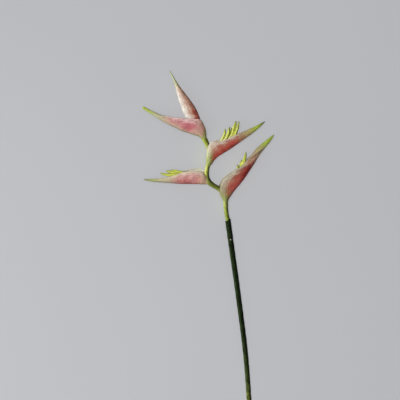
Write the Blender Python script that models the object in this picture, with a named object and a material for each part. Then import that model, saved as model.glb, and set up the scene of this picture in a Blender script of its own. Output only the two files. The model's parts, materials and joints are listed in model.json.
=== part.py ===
"""Heliconia stem: a cut stem lying on a surface, with its head flat and its stalk towards -Y.

X runs to the right of the photo and Y up it, and Z is up off the surface. All dimensions are in
millimetres, and every curve is a smooth line through the points that are listed for it.
"""

import math

import bpy
import numpy as np

for thing in list(bpy.data.objects):
    bpy.data.objects.remove(thing, do_unlink=True)

MM = 0.001

# Clearance between two pieces, with a margin for the flats of a faceted round piece
GAP = 0.3
FACET_MARGIN = 0.28

# Stalk, from the cut end to the mouth: x, y, z
STALK_LINE = (
    (86.6, -374.0, 4.5),
    (84.6, -330.0, 5.2),
    (82.0, -283.0, 5.9),
    (78.6, -232.0, 6.6),
    (73.4, -176.0, 7.5),
    (66.4, -120.0, 8.3),
    (59.0, -64.0, 9.15),
    (45.0, 36.0, 10.65),
    (39.6, 76.0, 11.25),
)
STALK_FOOT_RADIUS = 4.7
STALK_TOP_RADIUS = 5.7
STALK_SIDES = 16
STALK_STEPS = 30
SOCKET_DEPTH = 25.0
MOUTH_RISE = 1.8

# Peduncle and rachis, from the foot in the socket to the end in the closed bract: x, y, z, radius
RACHIS_LINE = (
    (42.9, 51.6, 10.9, 4.2),
    (39.6, 76.0, 11.25, 4.3),
    (37.4, 85.0, 11.4, 4.35),
    (36.0, 95.0, 11.6, 4.5),
    (35.2, 106.0, 11.8, 4.8),
    (34.4, 118.0, 12.0, 5.0),
    (30.8, 129.4, 12.0, 5.2),
    (21.4, 138.4, 12.0, 4.7),
    (10.2, 145.2, 12.0, 4.9),
    (2.0, 151.6, 12.0, 5.5),
    (-2.0, 159.6, 12.0, 5.0),
    (-2.8, 169.0, 12.0, 4.55),
    (-1.4, 181.0, 12.2, 4.5),
    (2.0, 195.0, 12.4, 4.7),
    (2.6, 209.0, 12.6, 4.7),
    (0.2, 221.0, 12.8, 4.5),
    (-2.8, 229.0, 12.9, 4.8),
    (-6.6, 236.6, 13.0, 5.4),
    (-10.6, 244.4, 13.0, 4.8),
    (-14.2, 254.0, 13.0, 3.2),
    (-18.2, 263.0, 13.0, 2.6),
    (-22.6, 271.0, 13.0, 2.1),
)
RACHIS_SIDES = 12
RACHIS_STEPS = 50

# Bracts, base to tip: keel x, keel y, rim x, rim y, half width, height of the middle
BRACT_1 = (
    (40.6, 112.6, 29.0, 113.6, 6.0, 11.9),
    (42.8, 119.0, 26.8, 119.2, 7.0, 12.0),
    (46.8, 127.6, 23.4, 127.4, 8.4, 12.0),
    (52.8, 137.2, 21.2, 137.2, 10.0, 12.0),
    (60.4, 146.8, 23.4, 149.8, 11.4, 12.0),
    (69.6, 158.0, 33.8, 161.8, 12.2, 12.0),
    (80.8, 172.4, 49.0, 173.2, 12.2, 12.0),
    (92.0, 188.8, 67.6, 185.8, 10.8, 12.2),
    (103.6, 206.0, 82.8, 203.2, 8.6, 12.4),
    (115.6, 222.0, 99.8, 222.2, 5.8, 12.8),
    (124.8, 234.0, 116.2, 236.0, 3.2, 13.2),
    (132.0, 246.0, 130.8, 247.2, 1.0, 13.6),
)
BRACT_2 = (
    (-3.2, 145.6, -3.8, 161.6, 7.2, 12.0),
    (-8.4, 146.2, -6.0, 166.2, 8.4, 11.8),
    (-16.4, 147.2, -10.6, 173.8, 9.6, 11.4),
    (-27.4, 147.6, -18.8, 177.2, 10.5, 10.9),
    (-41.4, 148.0, -32.4, 176.6, 10.9, 10.7),
    (-57.4, 148.2, -49.4, 172.2, 10.4, 10.7),
    (-74.4, 148.8, -68.4, 165.2, 8.8, 10.9),
    (-92.4, 150.2, -89.2, 160.4, 6.2, 11.3),
    (-110.4, 152.6, -108.8, 158.4, 3.6, 11.8),
    (-129.0, 156.4, -129.2, 158.2, 1.0, 12.4),
)
BRACT_3 = (
    (4.6, 183.4, -5.4, 184.0, 6.2, 12.2),
    (7.8, 188.8, -4.0, 198.0, 7.0, 12.3),
    (12.8, 196.4, -2.6, 214.0, 8.2, 12.6),
    (20.0, 203.6, 0.0, 225.6, 9.8, 12.8),
    (29.2, 209.6, 9.6, 233.0, 11.2, 13.0),
    (41.2, 216.8, 24.6, 237.8, 11.6, 13.2),
    (55.6, 226.4, 42.6, 242.6, 11.0, 13.4),
    (71.6, 237.2, 61.6, 249.6, 8.8, 13.8),
    (87.6, 248.8, 80.8, 257.0, 5.8, 14.4),
    (102.6, 262.4, 99.2, 266.8, 3.0, 15.0),
    (113.8, 272.6, 112.8, 273.8, 1.0, 15.6),
)
BRACT_4 = (
    (-14.6, 237.0, -1.6, 239.0, 6.8, 13.0),
    (-18.8, 242.0, -3.4, 248.0, 8.2, 13.0),
    (-24.4, 244.0, -5.4, 258.2, 9.8, 13.2),
    (-31.6, 246.4, -9.8, 268.4, 11.0, 13.4),
    (-39.8, 249.4, -17.4, 276.4, 11.6, 13.6),
    (-51.2, 254.0, -35.2, 277.2, 11.6, 13.8),
    (-65.6, 260.2, -54.4, 279.4, 10.6, 14.2),
    (-81.2, 267.8, -73.6, 281.8, 8.6, 14.6),
    (-96.8, 276.8, -91.2, 284.8, 6.0, 15.2),
    (-113.6, 288.0, -110.6, 292.8, 3.2, 15.8),
    (-131.9, 300.2, -130.6, 303.4, 1.6, 16.4),
)
BRACT_5 = (
    (-10.0, 253.0, -19.2, 251.2, 4.6, 13.0),
    (-11.6, 264.0, -27.4, 260.8, 5.2, 13.0),
    (-14.0, 274.8, -38.0, 271.2, 6.4, 13.2),
    (-18.6, 286.0, -46.0, 282.8, 7.4, 13.6),
    (-25.8, 300.4, -52.6, 297.2, 8.0, 14.0),
    (-34.8, 314.0, -58.4, 312.8, 8.2, 14.4),
    (-44.8, 327.6, -63.0, 328.8, 7.4, 14.8),
    (-55.2, 341.6, -66.8, 344.0, 5.6, 15.2),
    (-64.4, 355.0, -70.8, 356.6, 3.6, 15.6),
    (-69.4, 362.8, -73.8, 364.0, 2.3, 15.9),
    (-73.4, 369.6, -76.4, 370.6, 1.5, 16.2),
    (-76.0, 373.9, -77.8, 374.2, 0.9, 16.4),
)
# How far each wall folds round from the keel, in degrees, at these parts of the bract's length
FOLD_AT = (0.0, 0.12, 0.25, 0.65, 1.0)
FOLD_1 = (150.0, 128.0, 120.0, 124.0, 155.0)
FOLD_2 = (124.0, 120.0, 118.0, 124.0, 155.0)
FOLD_3 = (125.0, 122.0, 120.0, 124.0, 155.0)
FOLD_4 = (140.0, 125.0, 118.0, 124.0, 155.0)
FOLD_5 = (150.0, 150.0, 156.0, 163.0, 165.0)
BRACT_WALL = 1.3
BASE_EDGE = 0.8
BEAK_FROM = 0.72
BEAK_TO = 0.93
KEEL_SHARPNESS = 0.8
COLLAR = 0.06
BRACT_STEPS = 28
WALL_STEPS = 6

# Florets: where each group's receptacle is, with its radius, then a line and a size for each floret
RECEPTACLE_1 = (32.6, 141.65, 12.0, 4.3)
FLORETS_1 = (
    (1.15, ((52.0, 165.0, 12.6), (67.0, 181.6, 13.4), (71.8, 194.0, 13.6), (75.4, 211.4, 13.6))),
    (0.95, ((47.0, 161.0, 9.8), (60.8, 179.0, 9.0), (65.6, 187.6, 9.0), (67.6, 196.6, 9.4))),
    (0.75, ((42.0, 158.0, 14.6), (55.6, 171.0, 16.0), (59.0, 179.0, 16.2), (58.0, 187.0, 16.0))),
)
RECEPTACLE_2 = (-11.15, 157.1, 11.6, 4.3)
FLORETS_2 = (
    (1.0, ((-36.4, 161.0, 11.8), (-62.4, 166.2, 12.8), (-80.4, 166.2, 13.2), (-96.2, 169.0, 13.2))),
    (1.05, ((-34.4, 163.6, 7.8), (-58.0, 168.8, 7.8), (-72.0, 171.4, 8.2), (-84.4, 174.8, 8.6))),
    (0.75, ((-32.4, 164.4, 15.0), (-48.4, 170.4, 15.8), (-62.0, 173.4, 15.6), (-74.0, 176.4, 15.2))),
)
RECEPTACLE_3 = (11.4, 213.05, 12.8, 4.3)
FLORETS_3 = (
    (0.85, ((21.6, 229.0, 16.0), (29.6, 240.0, 17.0), (33.0, 248.6, 17.2), (33.6, 258.4, 17.0))),
    (1.0, ((26.6, 229.0, 12.4), (37.6, 241.6, 12.0), (41.0, 250.6, 12.0), (42.8, 261.4, 12.0))),
    (0.8, ((30.6, 226.0, 9.0), (42.6, 239.8, 8.2), (46.0, 250.0, 8.2), (46.8, 260.4, 8.4))),
    (1.15, ((33.6, 231.0, 16.2), (47.6, 245.2, 17.0), (52.4, 259.0, 17.2), (56.4, 273.4, 17.0))),
    (0.95, ((39.0, 230.0, 10.8), (54.4, 248.0, 10.0), (59.6, 261.6, 10.2), (61.4, 272.6, 10.4))),
)
# Radius of a full-sized floret at these parts of its length
FLORET_AT = (0.0, 0.15, 0.45, 0.7, 0.9, 1.0)
FLORET_RADIUS = (1.6, 1.5, 2.7, 3.1, 2.3, 0.9)
FLORET_SIDES = 8
FLORET_STEPS = 11


def through(knots, values, at):
    """The smooth curve through the values at the knots, read at the given places."""
    knots = np.asarray(knots, float)
    values = np.asarray(values, float)
    slopes = np.gradient(values, knots, axis=0)
    at = np.clip(np.asarray(at, float), knots[0], knots[-1])
    first = np.clip(np.searchsorted(knots, at, side="right") - 1, 0, len(knots) - 2)
    span = (knots[first + 1] - knots[first])[:, None]
    part = (at - knots[first])[:, None] / span
    shape = (len(knots), -1)
    values = values.reshape(shape)
    slopes = slopes.reshape(shape)
    left = values[first] * (1 + 2 * part) * (1 - part) ** 2
    right = values[first + 1] * part**2 * (3 - 2 * part)
    leave = slopes[first] * span * part * (1 - part) ** 2
    arrive = slopes[first + 1] * span * part**2 * (part - 1)
    return left + right + leave + arrive


def lengths(points):
    """How far along a line each of its points is."""
    steps = np.linalg.norm(np.diff(points, axis=0), axis=1)
    return np.concatenate([[0.0], np.cumsum(steps)])


def line_at(table, at):
    """The smooth line through a table of points, read at these parts of its length."""
    table = np.asarray(table, float)
    knots = lengths(table[:, :3])
    return through(knots / knots[-1], table, at)


def rings_round(centres, radii, sides):
    """One ring of points round each centre of a line, square to it."""
    along = np.gradient(centres, axis=0)
    along /= np.linalg.norm(along, axis=1)[:, None]
    side = np.cross(along, (0.0, 0.0, 1.0))
    side /= np.linalg.norm(side, axis=1)[:, None]
    up = np.cross(side, along)
    turn = 2 * math.pi * np.arange(sides) / sides
    across = np.cos(turn)[None, :, None] * side[:, None, :]
    across = across + np.sin(turn)[None, :, None] * up[:, None, :]
    return centres[:, None, :] + across * np.asarray(radii)[:, None, None]


def skin(rings):
    """Points and triangles of the closed tube through the rings, with a flat cap at each end."""
    count, sides = rings.shape[:2]
    points = np.concatenate([rings.reshape(-1, 3), [rings[0].mean(0), rings[-1].mean(0)]])
    faces = []
    for ring in range(count - 1):
        for here in range(sides):
            after = (here + 1) % sides
            a = ring * sides + here
            b = ring * sides + after
            faces += [(a, b, b + sides), (a, b + sides, a + sides)]
    for here in range(sides):
        after = (here + 1) % sides
        faces.append((count * sides, after, here))
        last = (count - 1) * sides
        faces.append((count * sides + 1, last + here, last + after))
    return points, faces


def solid(name, points, faces, material, smooth=True):
    """A closed body facing out, resting on the surface where it would dip under it."""
    points = np.array(points, float)
    points[:, 2] = np.maximum(points[:, 2], 0.0)
    corners = points[np.array(faces)]
    volume = np.einsum("ij,ij->i", corners[:, 0], np.cross(corners[:, 1], corners[:, 2])).sum()
    if volume < 0:
        faces = [face[::-1] for face in faces]
    mesh = bpy.data.meshes.new(name)
    mesh.from_pydata((points * MM).tolist(), [], [tuple(map(int, face)) for face in faces])
    mesh.polygons.foreach_set("use_smooth", [smooth] * len(mesh.polygons))
    mesh.materials.append(material)
    mesh.update()
    body = bpy.data.objects.new(name, mesh)
    bpy.context.scene.collection.objects.link(body)
    return body


def finish(name, colour, roughness):
    """A Principled material of one colour."""
    material = bpy.data.materials.new(name)
    material.use_nodes = True
    shader = material.node_tree.nodes["Principled BSDF"]
    shader.inputs["Base Color"].default_value = (*colour, 1.0)
    shader.inputs["Roughness"].default_value = roughness
    return material


def build_stalk(material):
    """The stalk, with the socket that the peduncle stands in."""
    at = np.linspace(0.0, 1.0, STALK_STEPS)
    centres = line_at(STALK_LINE, at)
    radii = STALK_FOOT_RADIUS + (STALK_TOP_RADIUS - STALK_FOOT_RADIUS) * at
    outside = rings_round(centres, radii, STALK_SIDES)
    rachis = np.asarray(RACHIS_LINE)
    reach = lengths(rachis[:, :3])
    mouth = reach[1]
    deep = np.linspace(mouth, mouth - SOCKET_DEPTH, 5) / reach[-1]
    inner = line_at(RACHIS_LINE, np.maximum(deep, 0.0))
    inner[-1, :3] += (inner[-1, :3] - inner[-2, :3]) * 0.06
    bore = (inner[:, 3] + GAP) / math.cos(math.pi / STALK_SIDES)
    inside = rings_round(inner[::-1, :3], bore[::-1], STALK_SIDES)[::-1]
    turn = 2 * math.pi * np.arange(STALK_SIDES) / STALK_SIDES
    along = centres[-1] - centres[-2]
    along /= np.linalg.norm(along)
    rise = MOUTH_RISE * np.cos(turn)[:, None] * along
    outside[-1] += rise
    inside[0] += rise
    points, faces = skin(np.concatenate([outside, inside]))
    return solid("stalk", points, faces, material)


def build_rachis(material):
    """The peduncle and the zigzag rachis, which are one piece."""
    table = line_at(RACHIS_LINE, np.linspace(0.0, 1.0, RACHIS_STEPS))
    points, faces = skin(rings_round(table[:, :3], table[:, 3], RACHIS_SIDES))
    return solid("rachis", points, faces, material)


def clear_of_rachis(points, wall, pull):
    """Moves points out until they clear the rachis, and pulls a base edge in to hug it."""
    rachis = line_at(RACHIS_LINE, np.linspace(0.0, 1.0, 600))
    moved = points.copy()
    for place in np.ndindex(points.shape[:-1]):
        away = points[place] - rachis[:, :3]
        far = np.linalg.norm(away, axis=1)
        near = int(np.argmin(far))
        least = rachis[near, 3] + GAP + FACET_MARGIN + wall[place]
        wanted = max(far[near], least)
        wanted += (least - wanted) * pull[place]
        moved[place] = rachis[near, :3] + away[near] * wanted / far[near]
    return moved


def bract_sections(table, fold, steps, wall_steps):
    """Outer and inner wall of a bract: one row of points for each section along it."""
    table = np.asarray(table, float)
    middle = (table[:, 0:2] + table[:, 2:4]) / 2
    knots = lengths(middle)
    at = np.linspace(0.0, 1.0, steps)
    at = at - 0.06 * np.sin(2 * math.pi * at)
    rows = through(knots / knots[-1], table, at)
    keel = np.column_stack([rows[:, 0:2], rows[:, 5]])
    rim = np.column_stack([rows[:, 2:4], rows[:, 5]])
    width = rows[:, 4]
    most = np.radians(through(FOLD_AT, fold, at)[:, 0])
    wall = BASE_EDGE + (BRACT_WALL - BASE_EDGE) * np.clip(at / 0.1, 0.0, 1.0)
    beak = np.clip((at - BEAK_FROM) / (BEAK_TO - BEAK_FROM), 0.0, 1.0)
    hollow = 1.0 - 0.98 * beak**2 * (3 - 2 * beak)
    depth = np.linalg.norm(rim - keel, axis=1)
    thin = np.minimum(wall, 0.3 * depth)
    inner_width = np.maximum(width - wall, 0.5 * width)
    turn = np.linspace(-1.0, 1.0, 2 * wall_steps + 1)
    angle = most[:, None] * turn[None, :]
    rise = ((1 - np.cos(angle)) / (1 - np.cos(most))[:, None]) ** KEEL_SHARPNESS
    floor = (thin / depth)[:, None]
    inner_rise = floor + (1 - floor) * rise
    inner_rise = 1 - hollow[:, None] * (1 - inner_rise)
    across = np.sin(angle)
    flat = np.sin(most)[:, None] * turn[None, :]
    inner_across = hollow[:, None] * across + (1 - hollow[:, None]) * flat
    chord = (rim - keel)[:, None, :]
    up = np.array([0.0, 0.0, 1.0])
    outer = keel[:, None, :] + rise[..., None] * chord
    outer = outer + (width[:, None] * across)[..., None] * up
    inner = keel[:, None, :] + inner_rise[..., None] * chord
    inner = inner + (inner_width[:, None] * inner_across)[..., None] * up
    pull = np.clip(1 - at / COLLAR, 0.0, 1.0) ** 2
    pull = np.repeat(pull[:, None], 2 * wall_steps + 1, axis=1)
    none = np.zeros_like(pull)
    outer = clear_of_rachis(outer, none + wall[:, None], pull)
    inner = clear_of_rachis(inner, none, pull)
    return outer, inner


def build_bract(name, table, fold, material):
    """A boat-shaped bract: two walls that fold round from a keel, and a solid beak."""
    outer, inner = bract_sections(table, fold, BRACT_STEPS, WALL_STEPS)
    steps, width = outer.shape[:2]
    steps -= 1
    tip = (outer[-1].mean(0) + inner[-1].mean(0)) / 2
    points = np.concatenate([outer[:-1].reshape(-1, 3), inner[:-1].reshape(-1, 3), [tip]])
    first_inner = steps * width
    last = steps * width * 2
    faces = []
    for row in range(steps - 1):
        for here in range(width - 1):
            a = row * width + here
            b = a + 1
            c = b + width
            d = a + width
            faces += [(a, b, c), (a, c, d)]
            a, b, c, d = (corner + first_inner for corner in (a, b, c, d))
            faces += [(c, b, a), (d, c, a)]
    for row in range(steps - 1):
        a = row * width
        b = a + width
        faces += [(a, b, b + first_inner), (a, b + first_inner, a + first_inner)]
        a += width - 1
        b += width - 1
        faces += [(b, a, a + first_inner), (b, a + first_inner, b + first_inner)]
    for here in range(width - 1):
        a = here
        b = here + 1
        faces += [(b, a, a + first_inner), (b, a + first_inner, b + first_inner)]
        a += (steps - 1) * width
        b += (steps - 1) * width
        faces += [(a, b, last), (b + first_inner, a + first_inner, last)]
    a = (steps - 1) * width
    faces.append((a + first_inner, a, last))
    a += width - 1
    faces.append((a, a + first_inner, last))
    return solid(name, points, faces, material)


def build_florets(name, receptacle, florets, material):
    """A group of florets that grow from one receptacle, joined into one body."""
    centre = np.array(receptacle[:3])
    radius = receptacle[3]
    polar = np.linspace(0.12, math.pi - 0.12, 8)
    centres = centre + np.outer(-np.cos(polar) * radius, (0.0, 1.0, 0.0))
    base = solid(name, *skin(rings_round(centres, np.sin(polar) * radius, 12)), material)
    group = bpy.data.collections.new(name + "_parts")
    bpy.context.scene.collection.children.link(group)
    at = np.linspace(0.0, 1.0, FLORET_STEPS)
    radii = through(FLORET_AT, FLORET_RADIUS, at)[:, 0]
    for number, (size, line) in enumerate(florets):
        spread = (np.array(line[0]) - centre) * 0.08
        centres = line_at((tuple(centre + spread), *line), at)
        body = solid(f"{name}_part_{number}", *skin(rings_round(centres, radii * size, FLORET_SIDES)),
                     material)
        bpy.context.scene.collection.objects.unlink(body)
        group.objects.link(body)
    join = base.modifiers.new("join", "BOOLEAN")
    join.operation = "UNION"
    join.operand_type = "COLLECTION"
    join.collection = group
    join.solver = "EXACT"
    bpy.context.view_layer.objects.active = base
    bpy.ops.object.modifier_apply(modifier=join.name)
    for body in list(group.objects):
        bpy.data.objects.remove(body, do_unlink=True)
    bpy.data.collections.remove(group)
    return base


stalk_green = finish("stalk_green", (0.025, 0.055, 0.02), 0.45)
rachis_green = finish("rachis_green", (0.35, 0.42, 0.07), 0.45)
bract_pink = finish("bract_pink", (0.55, 0.2, 0.19), 0.4)
floret_green = finish("floret_green", (0.42, 0.5, 0.05), 0.5)

build_stalk(stalk_green)
build_rachis(rachis_green)
build_bract("bract_1", BRACT_1, FOLD_1, bract_pink)
build_bract("bract_2", BRACT_2, FOLD_2, bract_pink)
build_bract("bract_3", BRACT_3, FOLD_3, bract_pink)
build_bract("bract_4", BRACT_4, FOLD_4, bract_pink)
build_bract("bract_5", BRACT_5, FOLD_5, bract_pink)
build_florets("florets_1", RECEPTACLE_1, FLORETS_1, floret_green)
build_florets("florets_2", RECEPTACLE_2, FLORETS_2, floret_green)
build_florets("florets_3", RECEPTACLE_3, FLORETS_3, floret_green)
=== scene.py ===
"""Looks of the heliconia stem: finer bracts, rachis, stalk and florets, with their finishes."""

import json
import math

import bpy
import numpy as np
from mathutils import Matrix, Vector

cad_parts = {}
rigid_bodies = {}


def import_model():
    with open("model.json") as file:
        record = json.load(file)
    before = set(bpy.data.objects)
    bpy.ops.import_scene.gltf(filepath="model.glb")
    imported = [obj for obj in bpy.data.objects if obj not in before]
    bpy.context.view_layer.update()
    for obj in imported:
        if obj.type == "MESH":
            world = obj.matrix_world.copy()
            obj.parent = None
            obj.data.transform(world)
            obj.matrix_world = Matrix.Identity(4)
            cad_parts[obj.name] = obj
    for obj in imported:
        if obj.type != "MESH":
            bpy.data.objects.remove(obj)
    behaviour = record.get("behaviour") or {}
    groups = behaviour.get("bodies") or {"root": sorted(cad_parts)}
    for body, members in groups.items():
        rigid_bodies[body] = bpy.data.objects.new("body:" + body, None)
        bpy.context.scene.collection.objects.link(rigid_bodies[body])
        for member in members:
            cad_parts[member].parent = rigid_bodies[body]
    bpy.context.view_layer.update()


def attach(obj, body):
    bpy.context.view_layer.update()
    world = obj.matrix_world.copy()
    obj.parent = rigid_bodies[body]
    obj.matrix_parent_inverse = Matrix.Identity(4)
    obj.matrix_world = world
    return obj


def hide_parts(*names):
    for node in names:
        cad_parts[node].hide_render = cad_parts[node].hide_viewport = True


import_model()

# A millimetre in metres, and the gap between two pieces in millimetres
MM = 0.001
GAP = 0.3

# Lines and sections, in millimetres. X runs right and Y up in the photo, and Z is up off the surface.
STALK_LINE = (
    (86.6, -374.0, 4.5),
    (84.6, -330.0, 5.2),
    (82.0, -283.0, 5.9),
    (78.6, -232.0, 6.6),
    (73.4, -176.0, 7.5),
    (66.4, -120.0, 8.3),
    (59.0, -64.0, 9.15),
    (45.0, 36.0, 10.65),
    (39.6, 76.0, 11.25),
)
STALK_FOOT_RADIUS = 4.7
STALK_TOP_RADIUS = 5.7
MOUTH_RISE = 1.8

# Each point of the rachis: x, y, z and the radius there
RACHIS_LINE = (
    (42.9, 51.6, 10.9, 4.2),
    (39.6, 76.0, 11.25, 4.3),
    (37.4, 85.0, 11.4, 4.35),
    (36.0, 95.0, 11.6, 4.5),
    (35.2, 106.0, 11.8, 4.8),
    (34.4, 118.0, 12.0, 5.0),
    (30.8, 129.4, 12.0, 5.2),
    (21.4, 138.4, 12.0, 4.7),
    (10.2, 145.2, 12.0, 4.9),
    (2.0, 151.6, 12.0, 5.5),
    (-2.0, 159.6, 12.0, 5.0),
    (-2.8, 169.0, 12.0, 4.55),
    (-1.4, 181.0, 12.2, 4.5),
    (2.0, 195.0, 12.4, 4.7),
    (2.6, 209.0, 12.6, 4.7),
    (0.2, 221.0, 12.8, 4.5),
    (-2.8, 229.0, 12.9, 4.8),
    (-6.6, 236.6, 13.0, 5.4),
    (-10.6, 244.4, 13.0, 4.8),
    (-14.2, 254.0, 13.0, 3.2),
    (-18.2, 263.0, 13.0, 2.6),
    (-22.6, 271.0, 13.0, 2.1),
)

# Each bract from base to tip: keel x, keel y, rim x, rim y, half width, height of the middle
BRACT_1 = (
    (40.6, 112.6, 29.0, 113.6, 6.0, 11.9),
    (43.3, 119.0, 26.8, 119.2, 7.0, 12.0),
    (48.1, 127.6, 23.4, 127.4, 8.4, 12.0),
    (55.3, 137.2, 21.2, 137.2, 10.0, 12.0),
    (63.5, 146.5, 23.4, 149.8, 11.4, 12.0),
    (72.3, 157.7, 33.8, 161.8, 12.2, 12.0),
    (82.2, 172.4, 49.0, 173.2, 12.2, 12.0),
    (93.0, 188.9, 67.6, 185.8, 10.8, 12.2),
    (103.4, 206.0, 82.8, 203.2, 8.6, 12.4),
    (115.8, 222.0, 99.8, 222.2, 5.8, 12.8),
    (125.3, 233.9, 116.2, 236.0, 3.2, 13.2),
    (132.2, 245.8, 130.8, 247.2, 1.0, 13.6),
)
BRACT_2 = (
    (-3.2, 145.6, -3.4, 163.4, 7.0, 12.0),
    (-8.4, 146.4, -5.4, 167.8, 8.2, 11.8),
    (-16.3, 147.7, -8.8, 173.6, 9.5, 11.4),
    (-27.3, 148.0, -17.4, 177.2, 10.5, 10.9),
    (-41.3, 148.3, -32.4, 176.6, 10.9, 10.7),
    (-57.3, 148.5, -49.4, 172.2, 10.4, 10.7),
    (-74.0, 150.0, -68.4, 165.2, 8.8, 10.9),
    (-92.1, 151.0, -89.2, 160.4, 6.2, 11.3),
    (-110.4, 152.7, -108.8, 158.4, 3.6, 11.8),
    (-129.0, 156.4, -129.2, 158.2, 1.0, 12.4),
)
BRACT_3 = (
    (4.6, 183.4, -5.4, 184.0, 6.2, 12.2),
    (8.2, 188.5, -4.0, 198.0, 7.0, 12.3),
    (13.3, 195.8, -2.6, 214.0, 8.2, 12.6),
    (20.7, 202.8, 0.0, 225.6, 9.8, 12.8),
    (30.0, 208.6, 9.6, 233.0, 11.2, 13.0),
    (42.0, 215.8, 24.6, 237.8, 11.6, 13.2),
    (56.2, 225.6, 42.6, 242.6, 11.0, 13.4),
    (71.9, 236.8, 61.6, 249.6, 8.8, 13.8),
    (88.0, 248.3, 80.8, 257.0, 5.8, 14.4),
    (103.4, 261.4, 99.6, 266.2, 3.0, 15.0),
    (114.1, 272.2, 113.1, 273.4, 1.0, 15.6),
)
BRACT_4 = (
    (-14.5, 237.0, -1.6, 239.0, 6.8, 13.0),
    (-18.3, 242.2, -3.4, 248.0, 8.2, 13.0),
    (-23.8, 244.5, -5.4, 258.2, 9.8, 13.2),
    (-31.0, 247.0, -9.8, 268.4, 11.0, 13.4),
    (-39.3, 250.0, -17.4, 276.4, 11.6, 13.6),
    (-51.3, 253.8, -35.2, 277.2, 11.6, 13.8),
    (-65.5, 260.4, -54.4, 279.4, 10.6, 14.2),
    (-81.2, 267.8, -73.6, 281.8, 8.6, 14.6),
    (-97.0, 276.5, -91.1, 284.9, 6.0, 15.2),
    (-113.9, 287.4, -110.3, 293.3, 3.2, 15.8),
    (-132.1, 299.7, -130.5, 303.7, 1.6, 16.4),
)
BRACT_5 = (
    (-10.0, 253.0, -19.2, 251.2, 4.6, 13.0),
    (-11.6, 264.0, -27.4, 260.8, 5.2, 13.0),
    (-14.5, 274.7, -38.0, 271.2, 6.4, 13.2),
    (-18.5, 286.0, -46.0, 282.8, 7.4, 13.6),
    (-25.0, 300.5, -52.6, 297.2, 8.0, 14.0),
    (-34.3, 314.0, -58.4, 312.8, 8.2, 14.4),
    (-44.6, 327.6, -63.0, 328.8, 7.4, 14.8),
    (-55.7, 341.7, -66.8, 344.0, 5.6, 15.2),
    (-64.5, 355.0, -70.8, 356.6, 3.6, 15.6),
    (-69.4, 362.8, -73.8, 364.0, 2.3, 15.9),
    (-73.4, 369.6, -76.4, 370.6, 1.5, 16.2),
    (-76.0, 373.9, -77.8, 374.2, 0.9, 16.4),
)
# How far each side folds round from the keel, in degrees, at these parts of a bract's length
FOLD_AT = (0.0, 0.12, 0.25, 0.65, 1.0)
FOLD_1 = (150.0, 128.0, 120.0, 124.0, 155.0)
FOLD_2 = (124.0, 120.0, 118.0, 124.0, 155.0)
FOLD_3 = (125.0, 122.0, 120.0, 124.0, 155.0)
FOLD_4 = (140.0, 125.0, 118.0, 124.0, 155.0)
FOLD_5 = (150.0, 150.0, 156.0, 163.0, 165.0)
BRACT_WALL = 1.3
KEEL_SHARPNESS = 0.8
# The hollow of a bract closes between these parts of its length
BEAK_FROM = 0.72
BEAK_TO = 0.93

# Each receptacle: x, y, z and radius. Each floret: its size, then the line from there to its tip
RECEPTACLE_1 = (32.6, 141.65, 12.0, 4.3)
FLORETS_1 = (
    (1.15, ((52.0, 165.0, 12.6), (67.0, 181.6, 13.4), (71.8, 194.0, 13.6), (75.4, 211.4, 13.6))),
    (0.95, ((47.0, 161.0, 9.8), (60.8, 179.0, 9.0), (65.6, 187.6, 9.0), (67.6, 196.6, 9.4))),
    (0.75, ((42.0, 158.0, 14.6), (55.6, 171.0, 16.0), (59.0, 179.0, 16.2), (58.0, 187.0, 16.0))),
)
RECEPTACLE_2 = (-11.15, 157.1, 11.6, 4.3)
FLORETS_2 = (
    (1.0, ((-36.4, 161.0, 11.8), (-62.4, 166.2, 12.8), (-80.4, 166.2, 13.2), (-96.2, 169.0, 13.2))),
    (1.05, ((-34.4, 163.6, 7.8), (-58.0, 168.8, 7.8), (-72.0, 171.4, 8.2), (-84.4, 174.8, 8.6))),
    (0.75, ((-32.4, 164.4, 15.0), (-48.4, 170.4, 15.8), (-62.0, 173.4, 15.6), (-74.0, 176.4, 15.2))),
)
RECEPTACLE_3 = (11.4, 213.05, 12.8, 4.3)
FLORETS_3 = (
    (0.85, ((21.6, 229.0, 12.0), (29.6, 240.0, 12.4), (33.0, 248.6, 12.6), (33.6, 258.4, 12.6))),
    (1.0, ((26.6, 229.0, 15.0), (37.4, 241.6, 15.6), (40.8, 250.6, 16.0), (42.6, 261.8, 16.4))),
    (0.8, ((30.6, 226.0, 9.0), (42.6, 239.8, 8.2), (46.0, 250.0, 8.2), (46.8, 260.4, 8.4))),
    (1.1, ((33.6, 231.0, 13.6), (47.0, 245.2, 14.4), (51.4, 259.0, 14.6), (55.8, 273.6, 14.6))),
    (0.95, ((39.6, 230.0, 13.8), (54.0, 248.0, 16.4), (58.8, 261.6, 17.6), (61.4, 272.8, 18.0))),
)
# Radius of a full-sized floret at these parts of its length
FLORET_AT = (0.0, 0.15, 0.45, 0.7, 0.9, 1.0)
FLORET_RADIUS = (1.6, 1.5, 2.7, 3.1, 2.3, 0.9)


def through(knots, values, at):
    """The smooth curve through the values at the knots, read at the given places."""
    knots = np.asarray(knots, float)
    values = np.asarray(values, float)
    slopes = np.gradient(values, knots, axis=0)
    at = np.clip(np.asarray(at, float), knots[0], knots[-1])
    first = np.clip(np.searchsorted(knots, at, side="right") - 1, 0, len(knots) - 2)
    span = (knots[first + 1] - knots[first])[:, None]
    part = (at - knots[first])[:, None] / span
    shape = (len(knots), -1)
    values = values.reshape(shape)
    slopes = slopes.reshape(shape)
    left = values[first] * (1 + 2 * part) * (1 - part) ** 2
    right = values[first + 1] * part**2 * (3 - 2 * part)
    leave = slopes[first] * span * part * (1 - part) ** 2
    arrive = slopes[first + 1] * span * part**2 * (part - 1)
    return left + right + leave + arrive


def lengths(points):
    """How far along a line each of its points is."""
    steps = np.linalg.norm(np.diff(points, axis=0), axis=1)
    return np.concatenate([[0.0], np.cumsum(steps)])


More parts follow.
